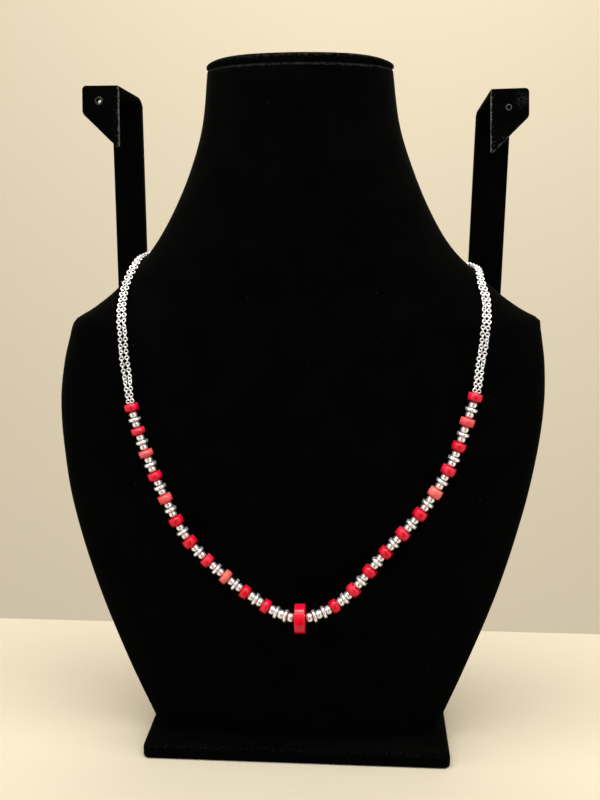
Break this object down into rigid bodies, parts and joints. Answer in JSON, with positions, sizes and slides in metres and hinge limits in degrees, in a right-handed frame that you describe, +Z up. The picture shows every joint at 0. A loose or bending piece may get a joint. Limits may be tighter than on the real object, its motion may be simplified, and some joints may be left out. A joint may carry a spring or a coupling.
{
  "type": "coral necklace on a neck bust",
  "caption": "Necklace of drilled coral drums and silver beads on fine link chain, worn by a velvet neck bust whose arms are drilled for earrings.",
  "frame": {"origin": "middle of the base plate's underside, on the table that the bust stands on", "axes": "+Z up, -Y towards the front, where the necklace hangs, +X to the right seen from the front"},
  "size_m": [0.233, 0.1104, 0.3296],
  "materials": {
    "velvet": "black velvet pile",
    "coral_red": "polished red coral",
    "coral_pink": "polished salmon coral",
    "silver_beads": "polished silver",
    "silver_chain": "bright silver",
    "thread": "twisted thread"
  },
  "bodies": {
    "root": {"bust_body": "velvet", "neck_cap": "velvet", "base_plate": "velvet", "earring_arm_left": "velvet", "earring_arm_right": "velvet", "coral_centre": "coral_red", "coral_left_01": "coral_red", "coral_left_02": "coral_red", "coral_left_03": "coral_pink", "coral_left_04": "coral_red", "coral_left_05": "coral_red", "coral_left_06": "coral_red", "coral_left_07": "coral_pink", "coral_left_08": "coral_red", "coral_left_09": "coral_pink", "coral_left_10": "coral_red", "coral_left_11": "coral_red", "coral_right_01": "coral_red", "coral_right_02": "coral_red", "coral_right_03": "coral_red", "coral_right_04": "coral_red", "coral_right_05": "coral_red", "coral_right_06": "coral_red", "coral_right_07": "coral_pink", "coral_right_08": "coral_red", "coral_right_09": "coral_red", "coral_right_10": "coral_pink", "coral_right_11": "coral_red", "silver_rounds_left": "silver_beads", "silver_rounds_right": "silver_beads", "silver_rings_left": "silver_beads", "silver_rings_right": "silver_beads", "thread": "thread", "chain_left_inner": "silver_chain", "chain_left_outer": "silver_chain", "chain_right_inner": "silver_chain", "chain_right_outer": "silver_chain", "clasp": "silver_chain"}
  },
  "joints": []
}
